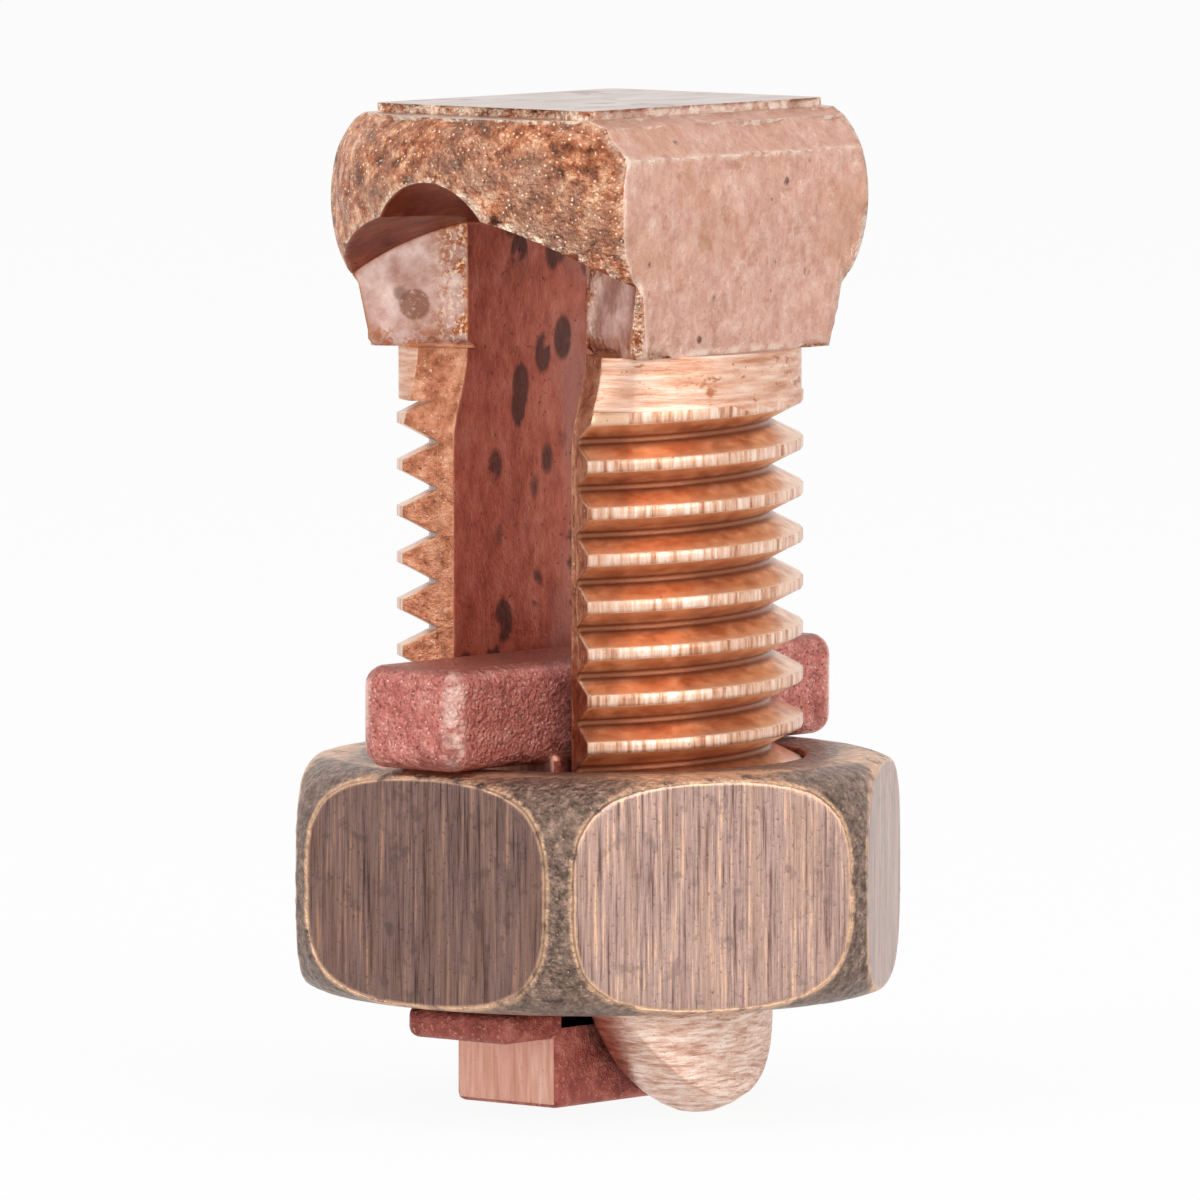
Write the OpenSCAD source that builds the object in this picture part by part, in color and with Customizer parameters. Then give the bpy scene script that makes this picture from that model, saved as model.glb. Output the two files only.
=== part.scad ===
// Split bolt connector: a slotted bolt, its captive pressure bar and the hex nut that drives it.
// The bolt stands on its two leg tips, head up. Conductors lie along Y, in the slot between the legs.
// Lengths are in millimetres, +Z is up and the leg tips are at Z = 0.

/* [Conductor slot] */
// Width of the slot between the two legs
slot_w = 4.2; // [2.6:0.1:5.6]
// Length of each flat slot wall below the head
wall_len = 7.4; // [5:0.1:8.6]
// Angle by which the front and back faces of a leg fall away from the slot
splay_deg = 32; // [10:1:45]
// Height of the crown of the slot above the leg tips, at the middle of the bolt
crown_z = 24.3; // [20:0.1:27]

/* [Thread] */
// Outside diameter of the threaded shank
thread_d = 11.1; // [9:0.05:13]
// Distance from one thread crest to the next
pitch = 1.27; // [0.8:0.01:2]
// Root diameter of the thread
root_d = 9.35; // [8:0.05:12]
// Diameter of the plain leg ends below the thread
end_d = 9.45; // [8:0.05:12]
// Height of a thread crest on the +X side, above a whole number of pitches
crest_z = 0.27; // [0:0.01:1.27]
// Width of the flat crest of the thread
crest_w = 0.28; // [0.1:0.01:0.4]
// Angle of each thread flank to the flat across the bolt
flank_deg = 27; // [20:0.5:30]
// Facets around one turn of the thread
thread_steps = 36; // [24:4:48]
// Height where the plain leg ends run out into the shank
thread_z = 3.4; // [2:0.1:6]
// Height of the plain collar between the thread and the head
collar_h = 1.45; // [0.6:0.05:4]
// Diameter of the plain collar under the head
collar_d = 11.0; // [9:0.05:13]
// Roundness of the leg ends: half width of an end one millimetre above its tip
tip_round = 1.9; // [1.4:0.05:2.6]
// How much shorter the leg on the -X side is than the other one
short_leg = 1.4; // [0:0.1:2.4]

/* [Head] */
// Height of the underside of the head above the leg tips
head_z = 20.8; // [14:0.1:40]
// Height of the head without the raised pad on its top
head_h = 6.45; // [5:0.05:10]
// Largest diameter of the two rounded brows, front and back
brow_d = 14.72; // [13:0.02:18]
// Height of the widest part of the brows above the underside of the head
brow_rise = 4.1; // [2.5:0.05:5]
// How far the brows round in towards the top and the underside
brow_round = 1.46; // [0.6:0.02:2.4]
// Distance across the two flat sides of the head at their widest
head_w = 10.4; // [9:0.05:14]
// How much narrower the head is across its flat sides at the underside
head_draft = 0.6; // [0:0.05:1.2]
// Height of the sloping band that joins each flat side to the top
bevel_h = 1.05; // [0.3:0.05:2]
// Width of that sloping band
bevel_w = 1.25; // [0.3:0.05:2.5]
// Size of the raised pad on top, across the flat sides
pad_x = 7.6; // [4:0.1:9]
// Size of the raised pad on top, from brow to brow
pad_y = 10.2; // [6:0.1:12]
// Height of the raised pad
pad_h = 0.25; // [0.1:0.05:0.8]
// Length of each slot wall where it passes through the head
head_wall_len = 6.2; // [5:0.1:8]
// Angle of the leg faces under the brows
head_splay_deg = 24.5; // [10:0.5:40]
// Radius of the arch under each brow
arch_r = 8.0; // [5:0.1:14]
// Angle by which the arch rises towards the front and the back
arch_deg = 3.5; // [0:0.5:12]
// Radius of the wire groove in the middle of each brow
lead_r = 2.2; // [1.6:0.1:5]
// Angle by which the wire groove rises outwards
lead_deg = 15.5; // [5:0.5:30]

/* [Pressure bar] */
// Width of the bar, which slides between the legs
bar_w = 3.5; // [2:0.05:5]
// How much longer the bar is than the nut is wide across its flats
bar_over = 0.6; // [-3:0.1:5]
// Height of the bar
bar_h = 2.8; // [1.6:0.05:5]
// Radius of the bar's rounded edges
bar_r = 0.55; // [0.1:0.05:1.2]
// Width of the tail that passes down through the nut
tail_w = 3.6; // [2:0.05:5]
// Length of the tail's section along the conductors
tail_len = 8.0; // [5:0.1:9]
// Height of the tail's lower end above the leg tips
tail_z = 0.3; // [0:0.05:2]
// Radius of the tail's lower corners
tail_r = 0.35; // [0.1:0.05:1.7]
// Length over the two staked lips that hold the nut
lip_len = 12.2; // [11.4:0.1:15]
// Thickness of the staked lips
lip_t = 0.9; // [0.4:0.05:1.5]

/* [Nut] */
// Bore of the nut over the crests of its thread
bore_d = 9.8; // [8.5:0.05:12]
// Distance across the nut's flats
nut_af = 15.7; // [14.5:0.05:22]
// Height of the nut
nut_h = 6.5; // [3:0.05:12]
// Height of the nut's lower face above the leg tips
nut_z = 3.15; // [2:0.05:10]
// Largest diameter of the nut over its rounded corners
nut_round_d = 17.7; // [15:0.05:24]
// Diameter of the flat ring on each face of the nut
nut_face_d = 13.2; // [12:0.05:20]
// Angle of the nut about the bolt as it stands
nut_turn = 2.8; // [0:0.1:60]
// How far the countersink at both ends of the bore reaches outside the thread
bore_cham = 0.1; // [0:0.05:1]

/* [Clearances] */
// Clearance between the bolt's thread and the nut's thread
thread_gap = 0.06; // [0.03:0.01:0.12]
// Gap between the nut and the bar above it, and between the nut and the lips below it
nut_gap = 0.05; // [0.02:0.01:0.3]

/* [Hidden] */
$fn = 96;
eps = 0.01;
far = 40;
head_top = head_z + head_h;
shank_top = head_z - collar_h;
bar_len = nut_af + bar_over;
bar_z = nut_z + nut_h + nut_gap;
lip_z = nut_z - nut_gap - lip_t;
leg_x = (slot_w / 2 + end_d / 2) / 2;
leg_cut = slot_w / 2;
brow_in = brow_d / 2 - brow_round;
copper = [0.74, 0.45, 0.30];
nut_brown = [0.58, 0.47, 0.40];
bar_pink = [0.70, 0.42, 0.36];

// A flat rectangle with rounded corners, centred on the origin.
module rounded(x, y, r) {
    square([x, y - 2 * r], center = true);
    square([x - 2 * r, y], center = true);
    for (i = [-1, 1], j = [-1, 1])
        translate([i * (x / 2 - r), j * (y / 2 - r)]) circle(r);
}

// Section of the open space between the legs: parallel walls, then faces that fall away from them.
module slot_plan(len, deg) {
    wide = leg_cut + far;
    out = len / 2 + far * tan(deg);
    polygon([
        [leg_cut, -len / 2], [leg_cut, len / 2], [wide, out], [wide, far * 2], [-wide, far * 2],
        [-wide, out], [-leg_cut, len / 2], [-leg_cut, -len / 2], [-wide, -out],
        [-wide, -far * 2], [wide, -far * 2], [wide, -out]
    ]);
}

// Half section of the brows: an elliptic shoulder above and below the widest point.
module brow_profile() {
    up = head_h + pad_h - brow_rise + 0.02;
    down = brow_rise * 0.66;
    low = brow_rise * 0.58;
    polygon(concat(
        [[0, 0], [brow_in + 0.35, 0]],
        [for (i = [0:6]) let (h = -low + low * i / 6)
            [brow_in + brow_round * sqrt(1 - pow(h / down, 2)), brow_rise + h]],
        [for (i = [1:9]) let (h = (head_h - brow_rise) * sin(i * 10))
            [brow_in + brow_round * sqrt(1 - pow(h / up, 2)), brow_rise + h]],
        [[0, head_h]]
    ));
}

// Section across the flat sides: slight draft below, a sloping band above.
module side_profile() {
    w = head_w / 2;
    polygon([
        [-w + head_draft / 2, 0], [w - head_draft / 2, 0], [w - head_draft / 4, head_h * 0.25],
        [w, head_h * 0.6], [w - 0.04, head_h - bevel_h], [w - bevel_w * 0.6, head_h - 0.2],
        [w - bevel_w, head_h], [-w + bevel_w, head_h], [-w + bevel_w * 0.6, head_h - 0.2],
        [-w + 0.04, head_h - bevel_h], [-w, head_h * 0.6], [-w + head_draft / 4, head_h * 0.25]
    ]);
}

// Head before the slot is cut: round brows front and back, flat sides left and right.
module head_block() {
    translate([0, 0, head_z]) intersection() {
        rotate_extrude() brow_profile();
        rotate([90, 0, 0]) translate([0, 0, -far / 2]) linear_extrude(far) side_profile();
    }
    translate([0, 0, head_top - eps]) linear_extrude(pad_h + eps) rounded(pad_x, pad_y, 0.35);
}

// Right-hand threaded rod. Its facets follow the helix, with a flat crest and a flat root.
// One column of points per step round the rod, and the last column joins the first a pitch higher.
module threaded_rod(crest_r, root_r, gap, low, high) {
    flank = (crest_r - root_r) * tan(flank_deg);
    half = crest_w / 2 + gap;
    form = [[-half - flank, root_r + gap], [-half, crest_r + gap],
        [half, crest_r + gap], [half + flank, root_r + gap]];
    n = len(form);
    steps = thread_steps;
    base = pitch * (floor(low / pitch) - 2) + crest_z;
    turns = ceil((high - base) / pitch) + 1;
    last = turns * n;
    rows = last + n + 1;
    ring = [for (i = [0:steps - 1], j = [0:rows - 1]) let (p = form[j % n], a = 360 * i / steps)
        [p[1] * cos(a), p[1] * sin(a), base + pitch * (floor(j / n) + i / steps) + p[0]]];
    side = [for (i = [0:steps - 1], j = [0:last - 1])
        let (a = i * rows + j, b = i == steps - 1 ? j + n : a + rows)
        each [[a, a + 1, b + 1], [a, b + 1, b]]];
    lower = concat([for (i = [0:steps - 1]) i * rows], [for (j = [n:-1:0]) j]);
    upper = concat([for (i = [0:steps - 1]) i * rows + last], [for (j = [n:-1:0]) last + j]);
    ends = [for (k = [0:len(lower) - 2]) each [[len(ring), lower[k], lower[k + 1]],
        [len(ring) + 1, upper[k + 1], upper[k]]]];
    intersection() {
        polyhedron(concat(ring, [[0, 0, base], [0, 0, base + turns * pitch]]),
            concat(side, ends), convexity = 10);
        translate([0, 0, low]) cylinder(r = crest_r + 1, h = high - low);
    }
}

// Round shank: plain leg ends, thread with a chamfered start, and the collar under the head.
module shank() {
    sunk = 0.3;
    cylinder(d = end_d, h = thread_z);
    intersection() {
        threaded_rod(thread_d / 2, root_d / 2, 0, thread_z - sunk, shank_top + sunk);
        translate([0, 0, thread_z - sunk]) cylinder(r1 = end_d / 2 - sunk + 0.1,
            r2 = end_d / 2 - sunk + 0.1 + far, h = far);
    }
    translate([0, 0, shank_top]) cylinder(d = collar_d, h = collar_h + eps);
}

// Rounded lower end of one leg, as a solid turned about the leg's own middle.
module leg_dome() {
    reach = (thread_d / 2 + 0.4) / tip_round;
    top = reach * reach;
    rotate_extrude() polygon(concat(
        [for (i = [0:12]) let (z = top * pow(i / 12, 2)) [tip_round * sqrt(z), z]],
        [[0, top]]
    ));
}

// Arch over the conductors: a wide arch and a wire groove, both rising towards the front and back.
module arch_space() {
    translate([-far / 2, -far / 2, -eps]) cube([far, far, crown_z - arch_r + eps]);
    for (s = [0, 180]) rotate([0, 0, s]) {
        translate([0, 0, crown_z - arch_r]) rotate([arch_deg, 0, 0]) rotate([-90, 0, 0])
            translate([0, 0, -1]) cylinder(r = arch_r, h = far / 2);
        translate([0, head_wall_len / 2, crown_z - lead_r]) rotate([lead_deg, 0, 0])
            rotate([-90, 0, 0]) translate([0, 0, -2]) cylinder(r = lead_r, h = far / 2);
    }
}

module split_bolt() {
    dome_top = pow((thread_d / 2 + 0.4) / tip_round, 2);
    color(copper) difference() {
        union() {
            head_block();
            intersection() {
                shank();
                union() {
                    translate([leg_x, 0, 0]) leg_dome();
                    translate([-leg_x, 0, short_leg]) leg_dome();
                    translate([-far / 2, -far / 2, dome_top - eps]) cube([far, far, far]);
                }
            }
        }
        translate([0, 0, -eps]) linear_extrude(head_z + eps) slot_plan(wall_len, splay_deg);
        intersection() {
            arch_space();
            translate([0, 0, head_z - eps]) linear_extrude(far)
                slot_plan(head_wall_len, head_splay_deg);
        }
    }
}

// Bar, tail and staked lips: one solid, lying along the conductors.
module pressure_bar() {
    tail_top = bar_z + bar_r + 0.2;
    color(bar_pink) union() {
        intersection() {
            translate([0, 0, bar_z]) rotate([90, 0, 90]) translate([0, 0, -bar_w / 2])
                linear_extrude(bar_w) translate([0, bar_h / 2]) rounded(bar_len, bar_h, bar_r);
            translate([0, 0, bar_z - eps]) linear_extrude(bar_h + 2 * eps)
                rounded(bar_w, bar_len, bar_r);
        }
        rotate([90, 0, 90]) translate([0, 0, -tail_w / 2]) linear_extrude(tail_w) {
            translate([-tail_len / 2, tail_z + tail_r])
                square([tail_len, tail_top - tail_z - tail_r]);
            translate([-tail_len / 2 + tail_r, tail_z]) square([tail_len - 2 * tail_r, tail_r * 2]);
            for (i = [-1, 1]) translate([i * (tail_len / 2 - tail_r), tail_z + tail_r])
                circle(tail_r);
            translate([0, lip_z + lip_t / 2]) rounded(lip_len, lip_t, lip_t * 0.45);
        }
    }
}

module hex_nut() {
    bulge = (nut_round_d - nut_face_d) / 2;
    sink_r = thread_d / 2 + thread_gap + bore_cham;
    color(nut_brown) translate([0, 0, nut_z]) rotate([0, 0, nut_turn]) difference() {
        intersection() {
            rotate([0, 0, 0]) cylinder(d = nut_af / cos(30), h = nut_h, $fn = 6);
            rotate_extrude() polygon(concat(
                [[0, 0]],
                [for (i = [-9:9]) [nut_face_d / 2 + bulge * pow(cos(i * 10), 0.77),
                    nut_h / 2 + nut_h / 2 * sign(i) * pow(sin(abs(i) * 10), 0.77)]],
                [[0, nut_h]]
            ));
        }
        rotate([0, 0, -nut_turn]) translate([0, 0, -nut_z])
            threaded_rod(thread_d / 2, bore_d / 2 - thread_gap, thread_gap, nut_z - 1,
                nut_z + nut_h + 1);
        translate([0, 0, -eps]) cylinder(r1 = sink_r + eps, r2 = bore_d / 2 - 0.1,
            h = sink_r - bore_d / 2 + 0.1 + eps);
        translate([0, 0, nut_h + eps]) mirror([0, 0, 1]) cylinder(r1 = sink_r + eps,
            r2 = bore_d / 2 - 0.1, h = sink_r - bore_d / 2 + 0.1 + eps);
    }
}

split_bolt();
pressure_bar();
hex_nut();
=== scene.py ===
import math

import bpy
import bmesh
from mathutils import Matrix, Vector, noise


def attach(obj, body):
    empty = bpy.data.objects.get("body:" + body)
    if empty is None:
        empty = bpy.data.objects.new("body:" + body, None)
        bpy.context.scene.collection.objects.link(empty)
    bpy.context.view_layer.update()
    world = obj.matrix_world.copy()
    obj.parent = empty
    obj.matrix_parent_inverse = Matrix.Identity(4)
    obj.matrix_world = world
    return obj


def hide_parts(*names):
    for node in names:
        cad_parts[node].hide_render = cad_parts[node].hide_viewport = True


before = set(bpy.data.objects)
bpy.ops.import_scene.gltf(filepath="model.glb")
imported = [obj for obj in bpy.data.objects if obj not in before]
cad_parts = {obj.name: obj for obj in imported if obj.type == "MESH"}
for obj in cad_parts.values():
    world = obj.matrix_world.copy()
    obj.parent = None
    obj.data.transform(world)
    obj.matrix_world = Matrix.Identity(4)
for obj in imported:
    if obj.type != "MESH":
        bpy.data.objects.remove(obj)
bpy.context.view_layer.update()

# ---------------------------------------------------------------- sizes of the solids, in millimetres
SLOT = 4.2
WALL, SPLAY = 7.4, 32.0
HWALL, HSPLAY = 6.2, 24.5
HEAD_Z, HEAD_TOP = 20.8, 27.25
CROWN, ARCH_R, ARCH_DEG = 24.3, 8.0, 3.5
LEAD_R = 2.2
THREAD_Z, THREAD_TOP = 3.4, 19.35
PITCH, CREST_R, CREST_W, FLANK, CREST_Z = 1.27, 5.55, 0.28, 27.0, 0.27
THREAD_GAP = 0.06           # between the nut's thread and the bolt's
NUT_AF, NUT_H, NUT_Z, NUT_ROUND, NUT_FACE, NUT_TURN, BORE = 15.7, 6.5, 3.15, 8.85, 6.6, 2.8, 4.9
BAR_W, BAR_LEN, BAR_H, BAR_Z = 3.5, 16.3, 2.8, 9.7
TAIL_W, TAIL_LEN, TAIL_Z = 3.6, 8.0, 0.3
LIP_LEN, LIP_T, LIP_Z = 12.2, 0.9, 2.2
BAR_ROUND, TAIL_ROUND, LIP_ROUND = 0.58, 0.22, 0.3
TAIL_IN = 0.3               # how far the tail reaches into the bar
HOLLOW, HOLLOW_HALF = 0.1, 1.3  # depth and half width of the dip along the bar's top
ROUNDNESS = 0.62            # of the nut's rounded body: 1 is an ellipse, less is squarer
BORE_RIM, BORE_LIP = 5.71, 5.95
BLEND_Z, BLEND_IN = 18.2, 1.4   # where the leg fronts start to curve in under the head, and how deep
BOLT_SHARP, NUT_SHARP, BAR_SHARP = 28, 45, 50   # degrees; edges with a larger angle stay sharp
NUT_AROUND, NUT_LEVELS, TURN_LEVELS = 480, 72, 18   # mesh steps: round, up the outside, per thread turn
BOLT_CELL, BAR_CELL = 0.3, 0.45     # edges longer than about this are cut for the relief
MM = 0.001


# ---------------------------------------------------------------- node helpers
def lin(r, g, b):
    def f(c):
        c = c / 255.0
        return c / 12.92 if c <= 0.04045 else ((c + 0.055) / 1.055) ** 2.4
    return (f(r), f(g), f(b), 1.0)


class Mat:
    """A metal material that is built up from nodes; lengths in its patterns are millimetres."""

    def __init__(self, name):
        self.m = bpy.data.materials.new(name)
        self.m.use_nodes = True
        self.t = self.m.node_tree
        self.t.nodes.clear()
        self.out = self.t.nodes.new("ShaderNodeOutputMaterial")
        self.bsdf = self.t.nodes.new("ShaderNodeBsdfPrincipled")
        self.t.links.new(self.bsdf.outputs[0], self.out.inputs[0])
        self.bsdf.inputs["Metallic"].default_value = 1.0
        self.co = self.t.nodes.new("ShaderNodeTexCoord")
        self.geo = self.t.nodes.new("ShaderNodeNewGeometry")

    def node(self, kind, **kw):
        n = self.t.nodes.new(kind)
        for k, v in kw.items():
            setattr(n, k, v)
        return n

    def link(self, a, b):
        self.t.links.new(a, b)

    def put(self, socket, value):
        if isinstance(value, bpy.types.NodeSocket):
            self.link(value, socket)
        else:
            socket.default_value = value

    def mm(self, scale=(1, 1, 1), offset=(0, 0, 0)):
        n = self.node("ShaderNodeMapping")
        n.inputs["Scale"].default_value = [1000 * s for s in scale]
        n.inputs["Location"].default_value = offset
        self.link(self.co.outputs["Object"], n.inputs["Vector"])
        return n.outputs[0]

    def noise(self, scale, detail=4, rough=0.55, vec=None, distort=0.0):
        n = self.node("ShaderNodeTexNoise")
        n.inputs["Scale"].default_value = scale
        n.inputs["Detail"].default_value = detail
        n.inputs["Roughness"].default_value = rough
        n.inputs["Distortion"].default_value = distort
        self.link(vec if vec is not None else self.mm(), n.inputs["Vector"])
        return n.outputs["Fac"]

    def cells(self, scale, vec=None, feature="F1"):
        n = self.node("ShaderNodeTexVoronoi", feature=feature)
        n.inputs["Scale"].default_value = scale
        self.link(vec if vec is not None else self.mm(), n.inputs["Vector"])
        return n.outputs["Distance"]

    def ramp(self, fac, stops, interp="LINEAR"):
        n = self.node("ShaderNodeValToRGB")
        r = n.color_ramp
        r.interpolation = interp
        while len(r.elements) < len(stops):
            r.elements.new(0.5)
        for e, (p, c) in zip(r.elements, stops):
            e.position = p
            e.color = c if len(c) == 4 else (*c, 1.0)
        self.link(fac, n.inputs[0])
        return n.outputs[0]

    def tones(self, fac, places, *colours):
        return self.ramp(fac, [(p, lin(*c)) for p, c in zip(places, colours)])

    def step(self, fac, a, b):
        n = self.node("ShaderNodeMapRange")
        n.interpolation_type = "SMOOTHSTEP"
        n.inputs["From Min"].default_value = a
        n.inputs["From Max"].default_value = b
        self.link(fac, n.inputs["Value"])
        return n.outputs[0]

    def math(self, op, a, b=0.0):
        n = self.node("ShaderNodeMath", operation=op)
        self.put(n.inputs[0], a)
        self.put(n.inputs[1], b)
        return n.outputs[0]

    def mix(self, fac, a, b, mode="MIX"):
        n = self.node("ShaderNodeMix", data_type="RGBA", blend_type=mode)
        self.put(n.inputs[0], fac)
        self.put(n.inputs[6], a)
        self.put(n.inputs[7], b)
        return n.outputs[2]

    def axis(self, which):
        s = self.node("ShaderNodeSeparateXYZ")
        self.link(self.mm(), s.inputs[0])
        return s.outputs[which]

    def edge(self, radius, lo=0.02, hi=0.2):
        b = self.node("ShaderNodeBevel", samples=6)
        b.inputs["Radius"].default_value = radius * MM
        d = self.node("ShaderNodeVectorMath", operation="DOT_PRODUCT")
        self.link(b.outputs[0], d.inputs[0])
        self.link(self.geo.outputs["Normal"], d.inputs[1])
        return self.step(self.math("SUBTRACT", 1.0, d.outputs["Value"]), lo, hi)

    def attr(self, name):
        n = self.node("ShaderNodeAttribute", attribute_name=name)
        return n.outputs["Fac"]

    def finish(self, colour, rough, height=None, strength=0.5, dist=0.1, bevel=0.0):
        self.put(self.bsdf.inputs["Base Color"], colour)
        self.put(self.bsdf.inputs["Roughness"], rough)
        normal = None
        if bevel:
            b = self.node("ShaderNodeBevel", samples=6)
            b.inputs["Radius"].default_value = bevel * MM
            normal = b.outputs[0]
        if height is not None:
            bp = self.node("ShaderNodeBump")
            bp.inputs["Strength"].default_value = strength
            bp.inputs["Distance"].default_value = dist * MM
            self.link(height, bp.inputs["Height"])
            if normal is not None:
                self.link(normal, bp.inputs["Normal"])
            normal = bp.outputs[0]
        if normal is not None:
            self.link(normal, self.bsdf.inputs["Normal"])
        return self.m


# ---------------------------------------------------------------- materials of the bolt
def cast_brow():
    m = Mat("copper_cast_brow")
    big = m.noise(0.45, 4, 0.6)
    mid = m.noise(2.2, 5, 0.65)
    fine = m.noise(9.0, 3, 0.7)
    grain = m.cells(7.5)
    base = m.tones(mid, (0.34, 0.45, 0.54, 0.66),
                   (104, 60, 44), (176, 108, 76), (216, 146, 108), (252, 204, 168))
    cool = m.mix(m.math("MULTIPLY", m.step(big, 0.44, 0.66), 0.6), base, lin(162, 128, 112))
    patch = m.step(m.noise(1.6, 6, 0.75, m.mm((1, 1, 1.6), (7, 3, 1))), 0.54, 0.7)
    dark = m.mix(m.math("MULTIPLY", patch, 0.7), cool, lin(110, 78, 62))
    # painted glints: near-white specks where the cell grain and the fine noise meet
    painted_glint = m.step(grain, 0.34, 0.14)
    lit = m.mix(m.math("MULTIPLY", painted_glint, m.step(fine, 0.46, 0.56)), dark, lin(255, 232, 206))
    pits = m.mix(m.step(fine, 0.40, 0.27), lit, lin(84, 56, 46))
    # painted highlight: near-white along the rounded edges, broken up by noise
    edge_highlight = m.math("MULTIPLY", m.edge(0.6, 0.02, 0.2), m.step(m.noise(2.6, 4, 0.7), 0.4, 0.56))
    edge_tinted = m.mix(edge_highlight, pits, lin(255, 226, 200))
    h = m.math("ADD", m.math("MULTIPLY", mid, 0.8), m.math("MULTIPLY", fine, 0.9))
    h = m.math("ADD", h, m.math("MULTIPLY", grain, 0.5))
    return m.finish(edge_tinted, m.ramp(fine, [(0.3, (0.42,) * 3), (0.7, (0.24,) * 3)]), h, 1.0, 0.16, 0.4)


def flat_side():
    m = Mat("copper_flat_side")
    big = m.noise(0.35, 4, 0.6, m.mm((1, 0.8, 1.2)))
    mid = m.noise(2.4, 6, 0.8, m.mm((1, 1, 0.7)))
    fine = m.noise(9.0, 5, 0.8)
    base = m.tones(mid, (0.32, 0.5, 0.68), (200, 146, 126), (220, 172, 154), (240, 202, 186))
    tone = m.mix(m.math("MULTIPLY", m.step(big, 0.42, 0.7), 0.45), base, lin(204, 146, 110))
    stain = m.step(m.noise(1.1, 6, 0.75, m.mm((1, 1, 1), (11, 4, 9))), 0.54, 0.64)
    tone = m.mix(m.math("MULTIPLY", stain, 0.45), tone, lin(176, 122, 90))
    spots = m.step(m.cells(0.9, m.mm((1, 1, 1), (2, 1, 5))), 0.16, 0.06)
    tone = m.mix(m.math("MULTIPLY", spots, m.step(mid, 0.48, 0.56)), tone, lin(112, 78, 66))
    tone = m.mix(m.math("MULTIPLY", m.step(fine, 0.42, 0.32), 0.7), tone, lin(156, 106, 90))
    # painted highlight: near-white specks
    tone = m.mix(m.math("MULTIPLY", m.step(fine, 0.60, 0.70), 0.7), tone, lin(255, 232, 220))
    # painted highlight: near-white along the rounded edges, broken up by noise
    edge_highlight = m.math("MULTIPLY", m.edge(0.55, 0.02, 0.2), m.step(m.noise(2.2, 4, 0.7), 0.38, 0.58))
    edge_tinted = m.mix(edge_highlight, tone, lin(255, 232, 214))
    h = m.math("ADD", m.math("MULTIPLY", mid, 0.7), m.math("MULTIPLY", fine, 0.3))
    return m.finish(edge_tinted, m.ramp(mid, [(0.3, (0.38,) * 3), (0.7, (0.24,) * 3)]), h, 0.45, 0.12, 0.4)


def head_top():
    m = Mat("copper_head_top")
    mid = m.noise(1.2, 5, 0.6, m.mm((1, 0.25, 1)))
    tone = m.tones(mid, (0.3, 0.55, 0.75), (168, 146, 138), (196, 178, 170), (214, 198, 190))
    tone = m.mix(m.step(m.noise(0.6, 4, 0.6), 0.56, 0.66), tone, lin(150, 116, 98))
    edge_tinted = m.mix(m.edge(0.2, 0.02, 0.16), tone, lin(232, 190, 160))
    return m.finish(edge_tinted, 0.3, mid, 0.2, 0.08, 0.18)


def leg_front():
    m = Mat("copper_leg_front")
    mid = m.noise(1.3, 5, 0.65)
    fine = m.noise(8.0, 4, 0.6)
    base = m.tones(mid, (0.34, 0.52, 0.68), (188, 140, 124), (216, 176, 164), (238, 206, 194))
    rust = m.step(m.noise(1.2, 6, 0.8, m.mm((1, 1, 1), (3, 8, 2))), 0.46, 0.56)
    near = m.step(m.math("ABSOLUTE", m.axis(0)), 3.4, 2.3)
    low = m.step(m.axis(2), 21.8, 20.9)
    orange = m.math("MULTIPLY", rust, m.math("MAXIMUM", near, m.math("MULTIPLY", low, 0.8)))
    tone = m.mix(orange, base, lin(176, 96, 44))
    tone = m.mix(m.math("MULTIPLY", near, m.step(fine, 0.52, 0.6)), tone, lin(244, 214, 188))
    spots = m.step(m.cells(0.75, m.mm((1, 1, 1), (1, 4, 2))), 0.2, 0.1)
    tone = m.mix(m.math("MULTIPLY", spots, 0.7), tone, lin(138, 106, 92))
    far = m.node("ShaderNodeVectorMath", operation="DISTANCE")
    m.link(m.mm(), far.inputs[0])
    far.inputs[1].default_value = (-3.48, -3.73, 21.95)
    mark = m.math("MULTIPLY", m.step(far.outputs["Value"], 0.48, 0.38), m.step(fine, 0.3, 0.5))
    tone = m.mix(m.math("MULTIPLY", mark, 0.8), tone, lin(140, 92, 72))
    edge_tinted = m.mix(m.math("MULTIPLY", m.edge(0.3, 0.03, 0.2), 0.8), tone, lin(206, 126, 76))
    h = m.math("ADD", m.math("MULTIPLY", mid, 0.7), m.math("MULTIPLY", fine, 0.3))
    return m.finish(edge_tinted, 0.4, h, 0.4, 0.1, 0.2)


def section_face():
    m = Mat("copper_cut_threads")
    mid = m.noise(2.4, 5, 0.65)
    fine = m.noise(9.0, 4, 0.65)
    base = m.tones(mid, (0.3, 0.46, 0.6, 0.75),
                   (132, 78, 56), (184, 118, 88), (212, 150, 118), (232, 186, 158))
    tone = m.mix(m.step(fine, 0.38, 0.3), base, lin(96, 62, 48))
    tone = m.mix(m.step(fine, 0.6, 0.7), tone, lin(240, 208, 184))
    edge_tinted = m.mix(m.math("MULTIPLY", m.edge(0.16, 0.03, 0.25), 0.6), tone, lin(232, 176, 138))
    h = m.math("ADD", mid, m.math("MULTIPLY", fine, 0.8))
    return m.finish(edge_tinted, 0.42, h, 0.6, 0.12, 0.12)


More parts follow.
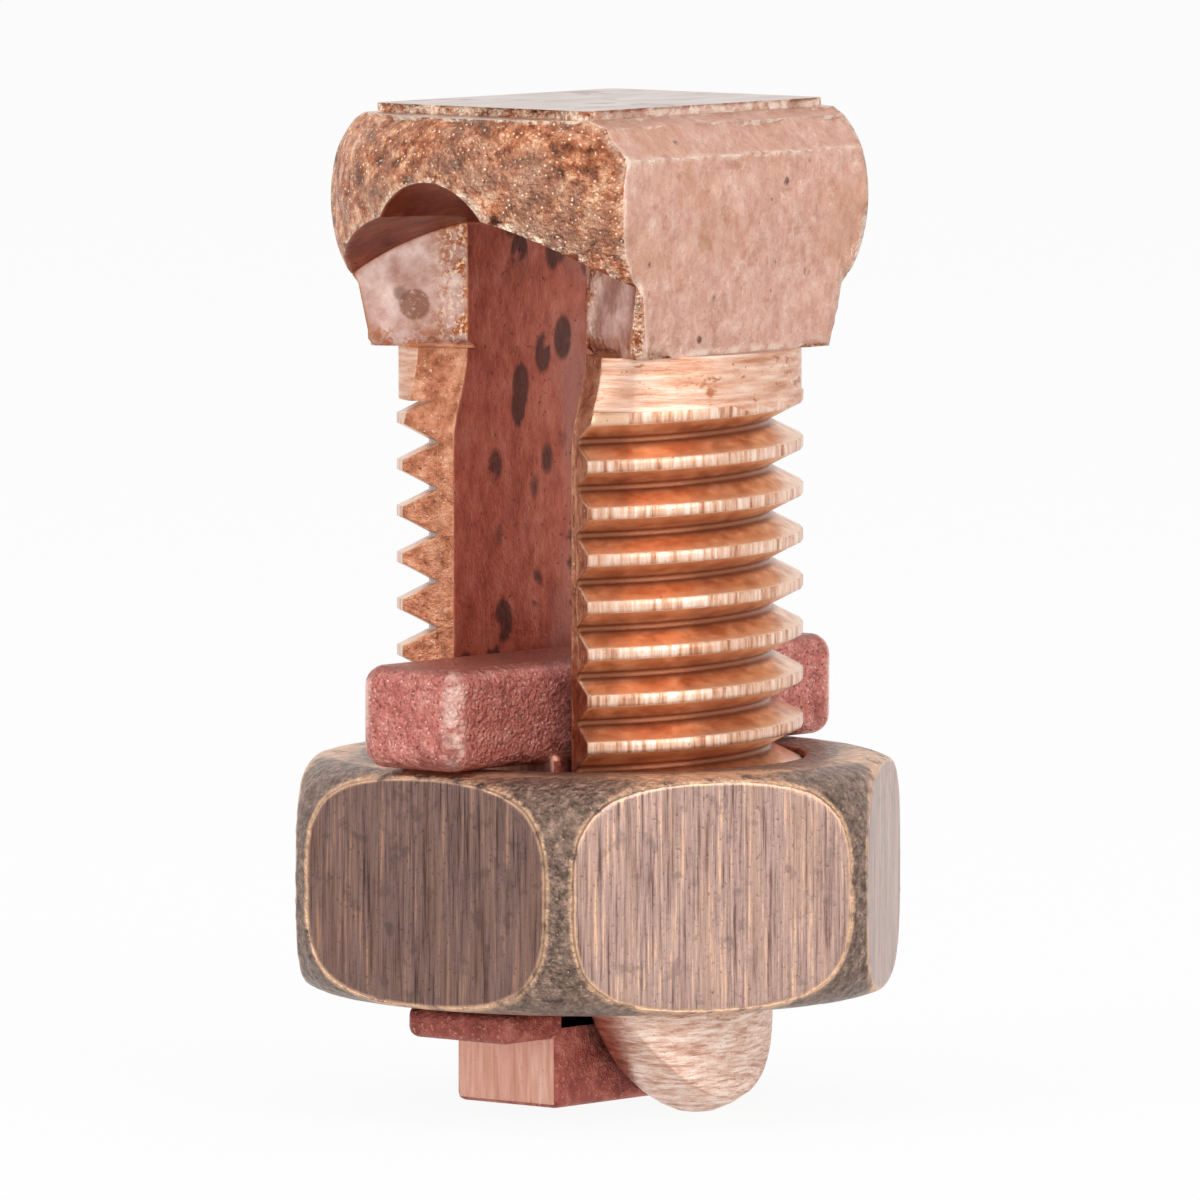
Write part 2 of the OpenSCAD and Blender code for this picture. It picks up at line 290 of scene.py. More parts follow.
def slot_wall():
    m = Mat("copper_slot_wall")
    streak = m.noise(1.5, 6, 0.7, m.mm((1, 1, 0.6)))
    fine = m.noise(6.0, 4, 0.6)
    base = m.tones(streak, (0.34, 0.5, 0.68), (172, 88, 66), (200, 110, 86), (218, 138, 114))
    patch = m.step(m.noise(0.25, 3, 0.5, m.mm((1, 1, 0.6), (4, 2, 8))), 0.45, 0.6)
    grey = m.mix(m.math("MULTIPLY", patch, 0.6), base, lin(178, 124, 114))
    spots = m.step(m.cells(0.8, m.mm((1, 1, 0.6), (5, 3, 1))), 0.34, 0.24)
    blot = m.math("MULTIPLY", spots, m.step(m.noise(0.9, 3, 0.5), 0.40, 0.48))
    tone = m.mix(m.math("MULTIPLY", blot, 0.8), grey, lin(70, 42, 38))
    tone = m.mix(m.math("MULTIPLY", m.step(fine, 0.38, 0.3), 0.7), tone, lin(84, 42, 34))
    m.bsdf.inputs["Metallic"].default_value = 0.7
    return m.finish(tone, 0.45, m.math("ADD", streak, m.math("MULTIPLY", fine, 0.4)), 0.35, 0.1, 0.2)


def arch_face():
    m = Mat("copper_arch")
    mid = m.noise(1.8, 5, 0.6, m.mm((0.5, 1, 1)))
    fine = m.noise(8.0, 4, 0.6)
    base = m.tones(mid, (0.3, 0.55, 0.75), (118, 60, 44), (160, 88, 62), (178, 112, 84))
    tone = m.mix(m.step(fine, 0.36, 0.3), base, lin(104, 54, 40))
    edge_tinted = m.mix(m.math("MULTIPLY", m.edge(0.16, 0.03, 0.25), 0.5), tone, lin(196, 138, 104))
    return m.finish(edge_tinted, 0.46, m.math("ADD", mid, m.math("MULTIPLY", fine, 0.3)), 0.35, 0.1, 0.2)


def thread_face():
    m = Mat("copper_thread")
    p = m.node("ShaderNodeSeparateXYZ")
    m.link(m.mm(), p.inputs[0])
    r = m.math("SQRT", m.math("ADD", m.math("MULTIPLY", p.outputs[0], p.outputs[0]),
                              m.math("MULTIPLY", p.outputs[1], p.outputs[1])))
    crest = m.step(r, 5.47, 5.53)
    scratch = m.noise(5.5, 3, 0.6, m.mm((1, 1, 0.12)))
    mid = m.noise(1.6, 5, 0.6)
    fine = m.noise(8.0, 4, 0.6)
    flank = m.tones(mid, (0.34, 0.52, 0.66), (198, 136, 96), (230, 176, 136), (248, 208, 174))
    # painted shade: darker towards the thread root
    flank = m.mix(m.step(r, 4.9, 4.7), flank, lin(160, 104, 76))
    # painted highlight: lighter on the flank near the crest
    flank = m.mix(m.step(r, 5.15, 5.5), flank, lin(232, 190, 158))
    # crest colour: scratched bare metal, lightened towards near-white as a painted highlight
    top = m.tones(scratch, (0.34, 0.46, 0.66), (176, 116, 88), (222, 172, 142), (250, 222, 204))
    tone = m.mix(crest, flank, top)
    tone = m.mix(m.math("MULTIPLY", m.step(fine, 0.36, 0.29), 0.6), tone, lin(120, 72, 52))
    m.bsdf.inputs["Metallic"].default_value = 0.8
    h = m.math("ADD", m.math("MULTIPLY", scratch, 0.6), m.math("MULTIPLY", fine, 0.3))
    return m.finish(tone, m.mix(crest, (0.26, 0.26, 0.26, 1), (0.3, 0.3, 0.3, 1)), h, 0.3, 0.06, 0.2)


def collar_face():
    m = Mat("copper_collar")
    ring = m.noise(3.2, 4, 0.6, m.mm((0.18, 0.18, 1.6)))
    fine = m.noise(8.0, 4, 0.6)
    base = m.tones(ring, (0.3, 0.5, 0.68), (196, 134, 104), (228, 180, 154), (246, 214, 194))
    rust = m.step(m.noise(0.8, 5, 0.7, m.mm((1, 1, 2.5), (2, 2, 5))), 0.56, 0.66)
    tone = m.mix(m.math("MULTIPLY", rust, 0.8), base, lin(170, 98, 58))
    tone = m.mix(m.step(fine, 0.34, 0.28), tone, lin(120, 72, 52))
    return m.finish(tone, 0.42, m.math("ADD", ring, m.math("MULTIPLY", fine, 0.3)), 0.3, 0.08, 0.12)


def leg_end():
    m = Mat("copper_leg_end")
    line = m.noise(5.0, 4, 0.75, m.mm((0.25, 0.25, 1.9)))
    mid = m.noise(1.2, 4, 0.6)
    fine = m.noise(9.0, 4, 0.6)
    base = m.tones(line, (0.36, 0.5, 0.62), (186, 140, 118), (228, 192, 174), (248, 226, 212))
    tone = m.mix(m.math("MULTIPLY", m.step(mid, 0.48, 0.64), 0.3), base, lin(206, 160, 136))
    tone = m.mix(m.math("MULTIPLY", m.step(fine, 0.38, 0.3), 0.6), tone, lin(150, 100, 76))
    edge_tinted = m.mix(m.math("MULTIPLY", m.edge(0.24, 0.03, 0.2), 0.7), tone, lin(196, 128, 84))
    return m.finish(edge_tinted, 0.42, m.math("ADD", line, m.math("MULTIPLY", fine, 0.5)), 0.35, 0.08, 0.2)


# ---------------------------------------------------------------- materials of the bar and the nut
def bar_skin():
    m = Mat("bar_sand_copper")
    mid = m.noise(2.4, 6, 0.8)
    fine = m.noise(7.5, 4, 0.7)
    grain = m.cells(7.0)
    base = m.tones(mid, (0.34, 0.5, 0.66), (186, 104, 94), (216, 134, 122), (240, 170, 156))
    tone = m.mix(m.step(m.noise(11.0, 4, 0.8), 0.48, 0.36), base, lin(120, 54, 48))
    # painted glints: near-white specks in the sandy grain
    tone = m.mix(m.math("MULTIPLY", m.step(grain, 0.3, 0.1), m.step(fine, 0.46, 0.54)), tone,
                 lin(255, 222, 212))
    # painted shade: darker on faces that point up
    up = m.node("ShaderNodeSeparateXYZ")
    m.link(m.geo.outputs["Normal"], up.inputs[0])
    tone = m.mix(m.math("MULTIPLY", m.step(up.outputs[2], 0.6, 0.9), 0.7), tone, lin(142, 80, 66))
    # painted highlight: near-white on the rounded vertical corners at the bar's ends
    side = m.step(m.math("ABSOLUTE", m.axis(0)), 1.15, 1.5)
    tip = m.step(m.math("ABSOLUTE", m.axis(1)), 7.5, 7.95)
    painted_corner_highlight = m.math("MULTIPLY", m.math("MULTIPLY", side, tip), m.step(m.noise(2.0, 5, 0.7), 0.36, 0.54))
    tone = m.mix(m.math("MULTIPLY", painted_corner_highlight, 0.8), tone, lin(255, 214, 200))
    dent = m.step(m.noise(0.9, 4, 0.6, m.mm((1, 1, 1), (6, 2, 3))), 0.54, 0.68)
    tone = m.mix(m.math("MULTIPLY", dent, 0.5), tone, lin(134, 66, 58))
    # painted highlight: near-white along the rounded edges
    edge_tinted = m.mix(m.math("MULTIPLY", m.edge(0.6, 0.04, 0.3), 0.55), tone, lin(255, 208, 190))
    h = m.math("ADD", m.math("MULTIPLY", fine, 0.9), m.math("MULTIPLY", grain, 0.5))
    return m.finish(edge_tinted, 0.3, m.math("ADD", h, mid), 1.0, 0.14, 0.2)


def tail_end():
    m = Mat("bar_sheared_end")
    streak = m.noise(4.5, 4, 0.6, m.mm((1.2, 1, 0.1)))
    fine = m.noise(8.0, 3, 0.6)
    base = m.tones(streak, (0.3, 0.5, 0.68), (196, 138, 118), (218, 162, 142), (232, 186, 168))
    tone = m.mix(m.math("MULTIPLY", m.step(fine, 0.38, 0.3), 0.5), base, lin(170, 112, 94))
    edge_tinted = m.mix(m.math("MULTIPLY", m.edge(0.2, 0.03, 0.2), 0.5), tone, lin(182, 112, 84))
    return m.finish(edge_tinted, 0.42, streak, 0.3, 0.06, 0.15)


def bar_dark():
    m = Mat("bar_dark_side")
    mid = m.noise(1.8, 5, 0.65)
    fine = m.noise(8.0, 4, 0.7)
    base = m.tones(mid, (0.3, 0.5, 0.7), (128, 66, 60), (168, 92, 82), (196, 124, 110))
    tone = m.mix(m.step(fine, 0.56, 0.66), base, lin(206, 146, 124))
    return m.finish(tone, 0.45, m.math("ADD", mid, fine), 0.6, 0.12, 0.2)


def nut_skin():
    m = Mat("nut_bronze")
    wander = m.math("SUBTRACT", m.noise(2.4, 5, 0.7), 0.5)
    seat = m.math("ADD", m.attr("seat"), m.math("MULTIPLY", wander, 0.12))
    flat = m.step(seat, -0.05, 0.03)
    rim = m.math("MULTIPLY", m.step(seat, -0.17, -0.04), m.step(seat, 0.13, 0.01))
    # brushed flats: lines run up and down
    line = m.noise(9.0, 5, 0.75, m.mm((1, 1, 0.035)))
    wide = m.noise(1.3, 3, 0.5, m.mm((1, 1, 0.12), (3, 1, 2)))
    mid = m.noise(1.6, 5, 0.6)
    fine = m.noise(8.5, 4, 0.7)
    brushed = m.tones(line, (0.36, 0.46, 0.57, 0.66),
                      (112, 84, 76), (170, 140, 130), (194, 162, 150), (250, 196, 156))
    brushed = m.mix(m.math("MULTIPLY", m.step(wide, 0.5, 0.66), 0.3), brushed, lin(196, 156, 132))
    brushed = m.mix(m.math("MULTIPLY", m.step(mid, 0.56, 0.68), 0.45), brushed, lin(118, 100, 94))
    brushed = m.mix(m.math("MULTIPLY", m.step(fine, 0.42, 0.32), 0.6), brushed, lin(96, 74, 66))
    # painted shade: the flat that faces the front (-Y) is darkened
    dot = m.node("ShaderNodeVectorMath", operation="DOT_PRODUCT")
    m.link(m.mm(), dot.inputs[0])
    turn = math.radians(NUT_TURN - 90)
    dot.inputs[1].default_value = (math.cos(turn), math.sin(turn), 0)
    face = m.step(dot.outputs["Value"], NUT_AF / 2 - 0.12, NUT_AF / 2 - 0.06)
    painted_shade_tone = m.mix(1.0, brushed, lin(152, 138, 140), "MULTIPLY")
    brushed = m.mix(m.math("MULTIPLY", face, 0.72), brushed, painted_shade_tone)
    cast = m.tones(m.noise(3.2, 6, 0.75), (0.34, 0.5, 0.62, 0.74),
                   (84, 66, 58), (132, 110, 98), (168, 140, 124), (206, 172, 148))
    grain = m.cells(6.5)
    cast = m.mix(m.math("MULTIPLY", m.step(grain, 0.22, 0.08), m.step(fine, 0.5, 0.6)), cast,
                 lin(220, 190, 158))
    cast = m.mix(m.step(fine, 0.42, 0.31), cast, lin(74, 56, 50))
    tone = m.mix(flat, cast, brushed)
    edge = m.math("MULTIPLY", m.math("MULTIPLY", rim, 0.8), m.step(m.noise(1.6, 5, 0.7), 0.3, 0.56))
    tone = m.mix(edge, tone, lin(238, 192, 156))
    hc = m.math("ADD", m.math("MULTIPLY", mid, 1.0), m.math("ADD", fine, m.math("MULTIPLY", grain, 0.6)))
    hf = m.math("ADD", m.math("MULTIPLY", line, 0.22), m.math("MULTIPLY", fine, 0.08))
    hm = m.node("ShaderNodeMix", data_type="FLOAT")
    m.link(flat, hm.inputs[0])
    m.link(hc, hm.inputs[2])
    m.link(hf, hm.inputs[3])
    rough = m.ramp(flat, [(0.0, (0.34,) * 3), (1.0, (0.3,) * 3)])
    return m.finish(tone, rough, hm.outputs[0], 0.9, 0.12)


def nut_bore():
    m = Mat("nut_thread")
    mid = m.noise(1.6, 5, 0.6)
    fine = m.noise(8.0, 4, 0.6)
    base = m.tones(mid, (0.3, 0.5, 0.7), (150, 100, 72), (178, 126, 92), (204, 156, 120))
    tone = m.mix(m.step(fine, 0.37, 0.3), base, lin(100, 70, 54))
    return m.finish(tone, 0.36, fine, 0.3, 0.08)


# ---------------------------------------------------------------- mesh helpers
def add_object(name, me, sharp):
    """Adds a smooth-shaded mesh to the scene; edges above the angle sharp, in degrees, stay sharp."""
    me.polygons.foreach_set("use_smooth", [True] * len(me.polygons))
    ob = bpy.data.objects.new(name, me)
    bpy.context.scene.collection.objects.link(ob)
    me.set_sharp_from_angle(angle=math.radians(sharp))
    return ob


def copy_of(node, name, sharp):
    """A cleaned copy of a CAD node's mesh, without materials."""
    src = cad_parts[node]
    me = src.data.copy()
    me.name = name
    bm = bmesh.new()
    bm.from_mesh(me)
    bmesh.ops.remove_doubles(bm, verts=bm.verts, dist=3e-6)
    bmesh.ops.dissolve_degenerate(bm, edges=bm.edges, dist=3e-6)
    bmesh.ops.triangulate(bm, faces=bm.faces[:])
    for _ in range(3):
        thin = [e for f in bm.faces if f.calc_area() < 1e-12 for e in f.edges if e.calc_length() < 2e-5]
        if not thin:
            break
        bmesh.ops.collapse(bm, edges=list(set(thin)))
    bm.to_mesh(me)
    bm.free()
    me.materials.clear()
    if "custom_normal" in me.attributes:
        me.attributes.remove(me.attributes["custom_normal"])
    return add_object(name, me, sharp)


# ---------------------------------------------------------------- the bolt
bolt = copy_of("split_bolt", "bolt_body", BOLT_SHARP)
names = ["brow", "side", "top", "front", "section", "wall", "arch", "thread", "collar", "end"]
for f in (cast_brow, flat_side, head_top, leg_front, section_face, slot_wall, arch_face, thread_face,
          collar_face, leg_end):
    bolt.data.materials.append(f())
ID = {n: i for i, n in enumerate(names)}


def leg_front_y(x, wall, splay):
    """How far out the splayed front of a leg lies at a distance x from the middle."""
    return wall / 2 + (x - SLOT / 2) * math.tan(math.radians(splay))


def bolt_region(c, n):
    """The surface that a face belongs to, from its centre c in millimetres and its normal n."""
    x, y, z = abs(c[0]), abs(c[1]), c[2]
    nx, ny, nz = abs(n[0]), abs(n[1]), n[2]
    r = math.hypot(x, y)
    if abs(x - SLOT / 2) < 0.03 and nx > 0.98:
        return "wall"
    if z > HEAD_Z - 0.02:
        arch = CROWN - ARCH_R + math.sqrt(max(ARCH_R ** 2 - x * x, 0))
        arch += y * math.tan(math.radians(ARCH_DEG))
        plane = leg_front_y(x, HWALL, HSPLAY)
        if abs(y - plane) < 0.03 and abs(nz) < 0.05 and z < 25:
            return "front"
        if nz > 0.93:
            return "top"
        if nz < -0.97 and z < HEAD_Z + 0.1:
            return "brow"
        if nz < -0.3 and abs(z - arch) < 0.12:
            return "arch"
        if nz < -0.3 and x < LEAD_R and z > 23.0 and (y < 6.6 or nz < -0.6) and z < 25.6:
            return "arch"
        if nx > 0.75 and x > 4.4:
            return "side"
        if z > HEAD_TOP - 1.1 and ny < 0.1 and nx > 0.2:
            return "side"
        return "brow"
    plane = leg_front_y(x, WALL, SPLAY)
    if abs(y - plane) < 0.03 and abs(nz) < 0.05:
        return "section"
    if z > THREAD_TOP:
        return "collar"
    if z < THREAD_Z or (z < 6 and r < 4.6):
        return "end"
    return "thread"


def roughen(ob, grain):
    """Cuts the faces of the given regions finely and gives them real relief: {index: height in mm}."""
    bm = bmesh.new()
    bm.from_mesh(ob.data)
    for _ in range(5):
        long = [e for e in bm.edges if e.calc_length() > BOLT_CELL * MM * 1.4
                and any(f.material_index in grain for f in e.link_faces)]
        if not long:
            break
        bmesh.ops.subdivide_edges(bm, edges=long, cuts=1)
        bmesh.ops.triangulate(bm, faces=[f for f in bm.faces if len(f.verts) > 3])
    bm.normal_update()
    for v in bm.verts:
        own = {f.material_index for f in v.link_faces}
        if len(own) != 1 or min(own) not in grain:
            continue
        if any(len(e.link_faces) == 2 and e.calc_face_angle(0) > 0.35 for e in v.link_edges):
            continue
        p = v.co * 1000
        h = noise.fractal(p * 0.55, 1.0, 2.0, 3) * 0.6 + noise.fractal(p * 2.2, 0.8, 2.0, 3) * 0.4
        v.co += v.normal * (grain[min(own)] * (h - 0.35) * MM)
    bmesh.ops.remove_doubles(bm, verts=bm.verts, dist=1.5e-6)
    bmesh.ops.holes_fill(bm, edges=[e for e in bm.edges if e.is_boundary], sides=8)
    bmesh.ops.delete(bm, geom=[v for v in bm.verts if not v.link_faces], context="VERTS")
    bm.to_mesh(ob.data)
    bm.free()
    ob.data.polygons.foreach_set("use_smooth", [True] * len(ob.data.polygons))
    ob.data.set_sharp_from_angle(angle=math.radians(BOLT_SHARP))


def blend_leg_fronts(me):
    """Curves the fronts of the legs in towards the narrower ones under the head."""
    for v in me.vertices:
        x, y, z = abs(v.co.x / MM), abs(v.co.y / MM), v.co.z / MM
        if BLEND_Z < z < HEAD_Z + 0.01 and x > SLOT / 2 - 0.02:
            t = (z - BLEND_Z) / (HEAD_Z - BLEND_Z)
            near = max(0.0, 1 - (leg_front_y(x, WALL, SPLAY) - y) / BLEND_IN)
            v.co.y -= math.copysign((WALL - HWALL) / 2 * t * t * (3 - 2 * t) * near * MM, v.co.y)
    me.update()


regions = [ID[bolt_region([v * 1000 for v in p.center], p.normal)] for p in bolt.data.polygons]
bolt.data.polygons.foreach_set("material_index", regions)
bolt.data.update()
relief = {"brow": 0.16, "side": 0.09, "front": 0.1, "wall": 0.0, "section": 0.07, "collar": 0.0}
roughen(bolt, {ID[name]: height for name, height in relief.items()})
blend_leg_fronts(bolt.data)
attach(bolt, "bolt")
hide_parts("split_bolt")


# ---------------------------------------------------------------- the nut
def barrel(t):
    """Radius of the nut's rounded body at height share t, from -1 to 1."""
    a = math.asin(min(1.0, abs(t) ** (1 / ROUNDNESS)))
    return NUT_FACE + (NUT_ROUND - NUT_FACE) * math.cos(a) ** ROUNDNESS if abs(t) < 1 else NUT_FACE


def smin(a, b, k):
    """The smaller of a and b, with their meeting rounded over k."""
    h = max(k - abs(a - b), 0.0) / k
    return min(a, b) - h * h * k * 0.25


def make_nut():
    """Rounded body and flats as one grid of angle by height, and the threaded bore as another."""
    verts, faces, index, seat, levels = [], [], [], [], []
    for i in range(NUT_LEVELS + 1):
        u = -1 + 2 * i / NUT_LEVELS
        levels.append(math.copysign(math.sin(abs(u) * math.pi / 2) ** 0.9, u))
    for t in levels:
        z = NUT_Z + NUT_H / 2 + NUT_H / 2 * t
        rb = barrel(t)
        slope = (barrel(min(abs(t) + 0.01, 1)) - barrel(max(abs(t) - 0.01, 0))) / (0.02 * NUT_H / 2)
        for k in range(NUT_AROUND):
            a = 2 * math.pi * k / NUT_AROUND
            phi = (a - math.radians(30)) % math.radians(60)
            phi = phi - math.radians(60) if phi > math.radians(30) else phi
            rf = NUT_AF / 2 / math.cos(phi)
            # rough distance from the rim of a flat: above 0 on the flat, below 0 on the cast body
            dist = (rb - rf) / (math.hypot(math.sin(phi), slope) + 0.05)
            f = min(1.0, max(0.0, dist / 0.06 + 0.5))
            r = smin(rb, rf, 0.1)
            p = Vector((math.cos(a) * r, math.sin(a) * r, z))
            rough = noise.fractal(p * 1.4, 1.0, 2.0, 4) * 0.04 + noise.noise(p * 6.0) * 0.02
            r += rough * (1 - f) - 0.012
            b = a + math.radians(NUT_TURN)
            verts.append((math.cos(b) * r * MM, math.sin(b) * r * MM, z * MM))
            seat.append(max(-0.5, min(0.5, dist)))
    rows = len(levels)
    for i in range(rows - 1):
        for k in range(NUT_AROUND):
            k2 = (k + 1) % NUT_AROUND
            low, high = i * NUT_AROUND, (i + 1) * NUT_AROUND
            faces.append((low + k, low + k2, high + k2, high + k))
            index.append(0)

    def ring(radius, z):
        s = len(verts)
        for k in range(NUT_AROUND):
            b = 2 * math.pi * k / NUT_AROUND + math.radians(NUT_TURN)
            verts.append((math.cos(b) * radius * MM, math.sin(b) * radius * MM, z * MM))
            seat.append(-0.5)
        return s

    def bridge(a, b, flip, m):
        for k in range(NUT_AROUND):
            k2 = (k + 1) % NUT_AROUND
            q = (a + k, a + k2, b + k2, b + k)
            faces.append(q[::-1] if flip else q)
            index.append(m)

    top, low = NUT_Z + NUT_H, NUT_Z
    t1, t2 = ring(BORE_LIP, top - 0.01), ring(BORE_RIM, top - 0.03)
    bridge((rows - 1) * NUT_AROUND, t1, False, 0)
    bridge(t1, t2, False, 0)
    b1, b2 = ring(BORE_LIP, low + 0.01), ring(BORE_RIM, low + 0.03)
    bridge(0, b1, True, 0)
    bridge(b1, b2, True, 0)
    # internal thread: a grid in angle and height whose radius follows the helix
    steps = int(NUT_H / PITCH * TURN_LEVELS)
    prev = t2
    for i in range(steps + 1):
        z = top - 0.05 - (NUT_H - 0.1) * i / steps
        s = len(verts)
        for k in range(NUT_AROUND):
            b = 2 * math.pi * k / NUT_AROUND + math.radians(NUT_TURN)
            w = (z - CREST_Z - PITCH * b / (2 * math.pi)) / PITCH
            w = abs(w - round(w)) * PITCH
            r = CREST_R + THREAD_GAP
            r -= max(0.0, w - CREST_W / 2 - THREAD_GAP) / math.tan(math.radians(FLANK))
            r = max(BORE, r, BORE_RIM - min(z - low, top - z))
            verts.append((math.cos(b) * r * MM, math.sin(b) * r * MM, z * MM))
            seat.append(-0.5)
        bridge(prev, s, False, 1)
        prev = s
    bridge(prev, b2, False, 1)
    me = bpy.data.meshes.new("nut_body")
    me.from_pydata(verts, [], faces)
    for x in (nut_skin(), nut_bore()):
        me.materials.append(x)
    me.polygons.foreach_set("material_index", index)
    me.update()
    ob = add_object("nut_body", me, NUT_SHARP)
    at = me.attributes.new("seat", "FLOAT", "POINT")
    at.data.foreach_set("value", seat)
    return ob


nut = make_nut()
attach(nut, "nut")
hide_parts("hex_nut")


# ---------------------------------------------------------------- the pressure bar
def block(bm, lo, hi, width, segs, mat):
    """A box with rounded edges."""
    r = bmesh.ops.create_cube(bm, size=1.0)
    for v in r["verts"]:
        v.co = Vector([(lo[i] + hi[i]) / 2 + v.co[i] * (hi[i] - lo[i]) for i in range(3)])
    edges = list({e for v in r["verts"] for e in v.link_edges})
    out = bmesh.ops.bevel(bm, geom=edges, offset=width, segments=segs, profile=0.5, affect="EDGES")
    for f in {f for v in out["verts"] for f in v.link_faces}:
        f.material_index = mat


def make_bar():
    """The bar, its tail and the lips near the foot, with a slightly hollow top and uneven sides."""
    bm = bmesh.new()
    L, W = BAR_LEN / 2, BAR_W / 2
    block(bm, (-W, -L, BAR_Z), (W, L, BAR_Z + BAR_H), BAR_ROUND, 5, 0)
    T, TW = TAIL_LEN / 2, TAIL_W / 2
    block(bm, (-TW, -T, TAIL_Z), (TW, T, BAR_Z + TAIL_IN), TAIL_ROUND, 3, 1)
    P = LIP_LEN / 2
    block(bm, (-TW, -P, LIP_Z), (TW, P, LIP_Z + LIP_T), LIP_ROUND, 4, 2)
    # cut long edges so that the surfaces can be worked
    for _ in range(3):
        long = [e for e in bm.edges if e.calc_length() > BAR_CELL]
        if not long:
            break
        bmesh.ops.subdivide_edges(bm, edges=long, cuts=1, use_grid_fill=True)
    bmesh.ops.triangulate(bm, faces=bm.faces[:])
    me = bpy.data.meshes.new("pressure_bar_body")
    for f in bm.faces:
        c, n = f.calc_center_median(), f.normal
        if c.z < BAR_Z - 0.05:
            f.material_index = 1 if abs(n.y) > 0.8 and abs(c.y) < T + 0.05 else 2
    for v in bm.verts:
        p = v.co.copy()
        if p.z > BAR_Z - 0.05:
            d = noise.fractal(p * 0.9, 1.0, 2.0, 4) * 0.05
            if abs(p.y) > BAR_LEN / 2 - 0.6:
                d += noise.noise(Vector((p.x * 1.6, 4.0, p.z * 0.4))) * 0.06
            if p.z > BAR_Z + BAR_H - 0.01:
                v.co.z -= HOLLOW * (1 - min(1.0, (p.x / HOLLOW_HALF) ** 2))
            out = Vector((p.x / W if abs(p.x) > W - 0.01 else 0.0,
                          p.y / L if abs(p.y) > L - 0.01 else 0.0, 0.0))
            v.co += out * (d - 0.03)
    for v in bm.verts:
        v.co *= MM
    bm.normal_update()
    bm.to_mesh(me)
    bm.free()
    for x in (bar_skin(), tail_end(), bar_dark()):
        me.materials.append(x)
    return add_object("pressure_bar_body", me, BAR_SHARP)


bar = make_bar()
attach(bar, "bar")
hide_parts("pressure_bar")


# ---------------------------------------------------------------- floor, world, lights, camera
def make_floor():
    me = bpy.data.meshes.new("floor")
    s = 3.0
    me.from_pydata([(-s, -s, 0), (s, -s, 0), (s, s, 0), (-s, s, 0)], [], [(0, 1, 2, 3)])
    ob = bpy.data.objects.new("floor", me)
    bpy.context.scene.collection.objects.link(ob)
    m = bpy.data.materials.new("pale_floor")
    m.use_nodes = True
    t = m.node_tree
    t.nodes.clear()
    out = t.nodes.new("ShaderNodeOutputMaterial")
    dif = t.nodes.new("ShaderNodeBsdfDiffuse")
    em = t.nodes.new("ShaderNodeEmission")
    mix = t.nodes.new("ShaderNodeMixShader")
    lp = t.nodes.new("ShaderNodeLightPath")
    mul = t.nodes.new("ShaderNodeMath")
    mul.operation = "MULTIPLY"
    add = t.nodes.new("ShaderNodeMath")
    add.operation = "MAXIMUM"
    tex = t.nodes.new("ShaderNodeTexNoise")
    tex.inputs["Scale"].default_value = 40
    ramp = t.nodes.new("ShaderNodeValToRGB")
    ramp.color_ramp.elements[0].color = (0.80, 0.80, 0.80, 1)
    ramp.color_ramp.elements[1].color = (0.84, 0.84, 0.84, 1)
    t.links.new(tex.outputs["Fac"], ramp.inputs[0])
    t.links.new(ramp.outputs[0], dif.inputs["Color"])
    em.inputs["Color"].default_value = (1, 1, 1, 1)
    em.inputs["Strength"].default_value = 1.0
    t.links.new(lp.outputs["Is Camera Ray"], add.inputs[0])
    t.links.new(lp.outputs["Is Glossy Ray"], add.inputs[1])
    t.links.new(add.outputs[0], mul.inputs[0])
    mul.inputs[1].default_value = 0.93
    t.links.new(mul.outputs[0], mix.inputs[0])
    t.links.new(dif.outputs[0], mix.inputs[1])
    t.links.new(em.outputs[0], mix.inputs[2])
    t.links.new(mix.outputs[0], out.inputs[0])
    me.materials.append(m)
    return ob


make_floor()

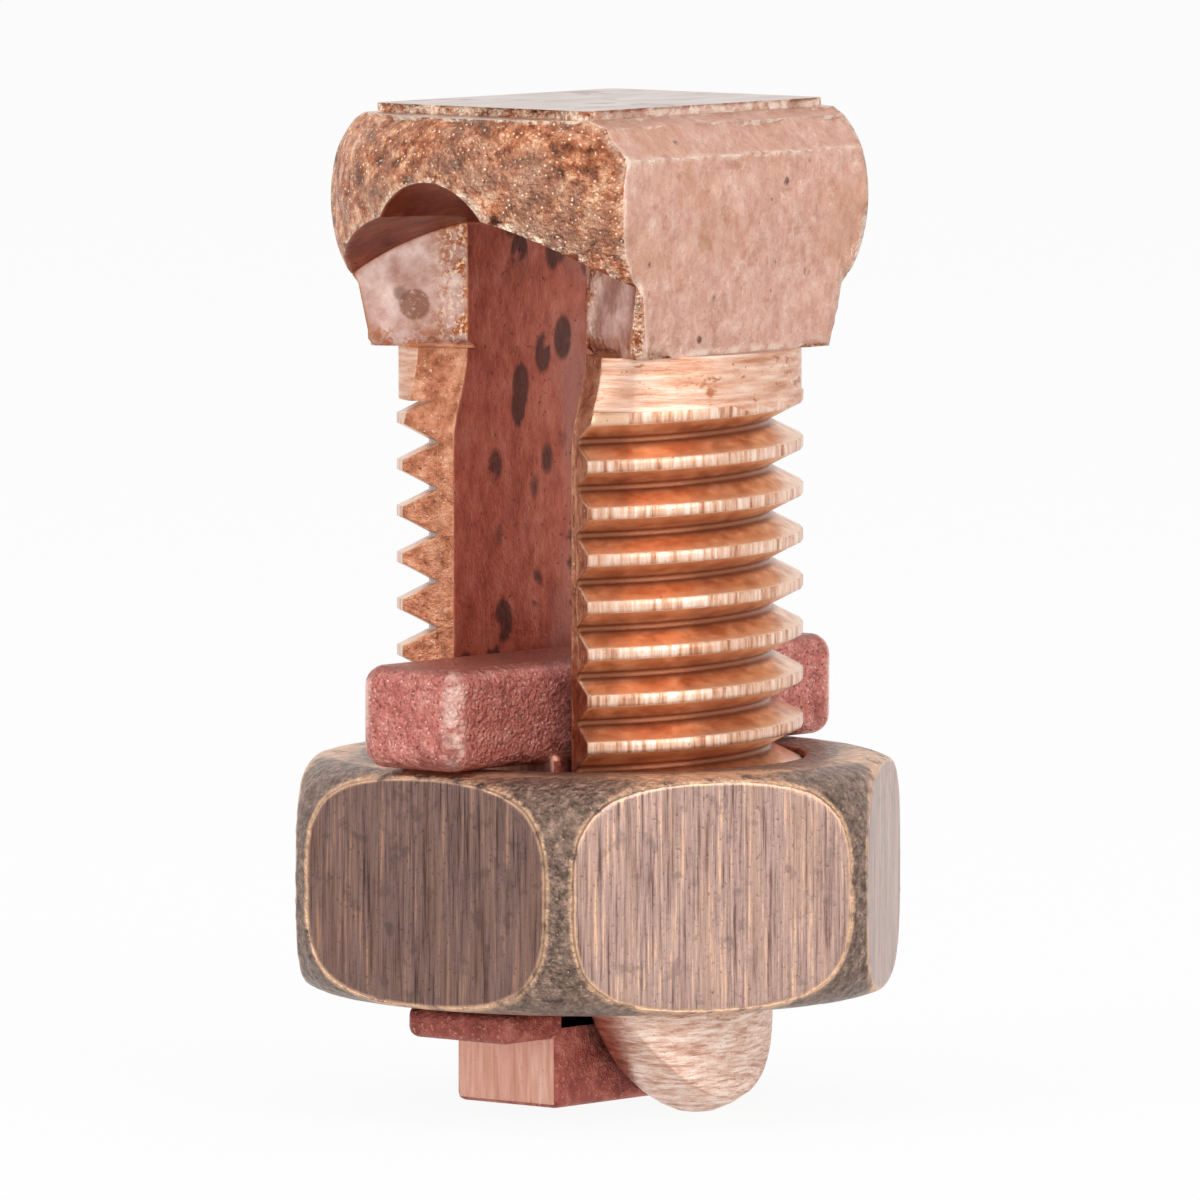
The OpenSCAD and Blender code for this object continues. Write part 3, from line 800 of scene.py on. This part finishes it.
scene = bpy.context.scene
world = bpy.data.worlds.new("studio")
scene.world = world
world.use_nodes = True
wt = world.node_tree
wt.nodes.clear()
wo = wt.nodes.new("ShaderNodeOutputWorld")
soft = wt.nodes.new("ShaderNodeBackground")
soft.inputs[0].default_value = (1, 1, 1, 1)
soft.inputs[1].default_value = 0.55
white = wt.nodes.new("ShaderNodeBackground")
white.inputs[0].default_value = (1, 1, 1, 1)
white.inputs[1].default_value = 1.0
wl = wt.nodes.new("ShaderNodeLightPath")
wm1 = wt.nodes.new("ShaderNodeMath")
wm1.operation = "MAXIMUM"
wm2 = wt.nodes.new("ShaderNodeMath")
wm2.operation = "MAXIMUM"
wx = wt.nodes.new("ShaderNodeMixShader")
wt.links.new(wl.outputs["Is Camera Ray"], wm1.inputs[0])
wt.links.new(wl.outputs["Is Glossy Ray"], wm1.inputs[1])
wt.links.new(wm1.outputs[0], wm2.inputs[0])
wt.links.new(wl.outputs["Is Transmission Ray"], wm2.inputs[1])
wt.links.new(wm2.outputs[0], wx.inputs[0])
wt.links.new(soft.outputs[0], wx.inputs[1])
wt.links.new(white.outputs[0], wx.inputs[2])
wt.links.new(wx.outputs[0], wo.inputs[0])


def area(name, az, el, dist, size, watts, target=(0, 0, 0.014)):
    d = bpy.data.lights.new(name, "AREA")
    d.shape = "RECTANGLE"
    d.size, d.size_y = size
    d.energy = watts
    ob = bpy.data.objects.new(name, d)
    a, e = math.radians(az), math.radians(el)
    t = Vector(target)
    ob.location = t + dist * Vector((math.sin(a) * math.cos(e), -math.cos(a) * math.cos(e), math.sin(e)))
    ob.rotation_euler = (t - ob.location).to_track_quat("-Z", "Y").to_euler()
    scene.collection.objects.link(ob)


area("key", 80, 25, 0.5, (0.4, 0.4), 1.2)
area("fill", -10, 35, 0.6, (0.2, 0.3), 0.8)
area("top", 40, 85, 0.5, (0.3, 0.3), 0.6)

# the photograph's viewing angle: a long lens, 40 degrees round from the front and nearly level
cam = bpy.data.cameras.new("camera")
cam.sensor_width = 36.0
cam.lens = 474.0
cam.clip_start, cam.clip_end = 0.01, 20.0
eye = bpy.data.objects.new("camera", cam)
aim = Vector((0, 0, 0.01382))
az, el, dist = math.radians(40.0), math.radians(4.7), 0.4317
eye.location = aim + dist * Vector((math.sin(az) * math.cos(el), -math.cos(az) * math.cos(el),
                                    math.sin(el)))
eye.rotation_euler = (aim - eye.location).to_track_quat("-Z", "Y").to_euler()
scene.collection.objects.link(eye)
scene.camera = eye
scene.view_settings.view_transform = "Standard"
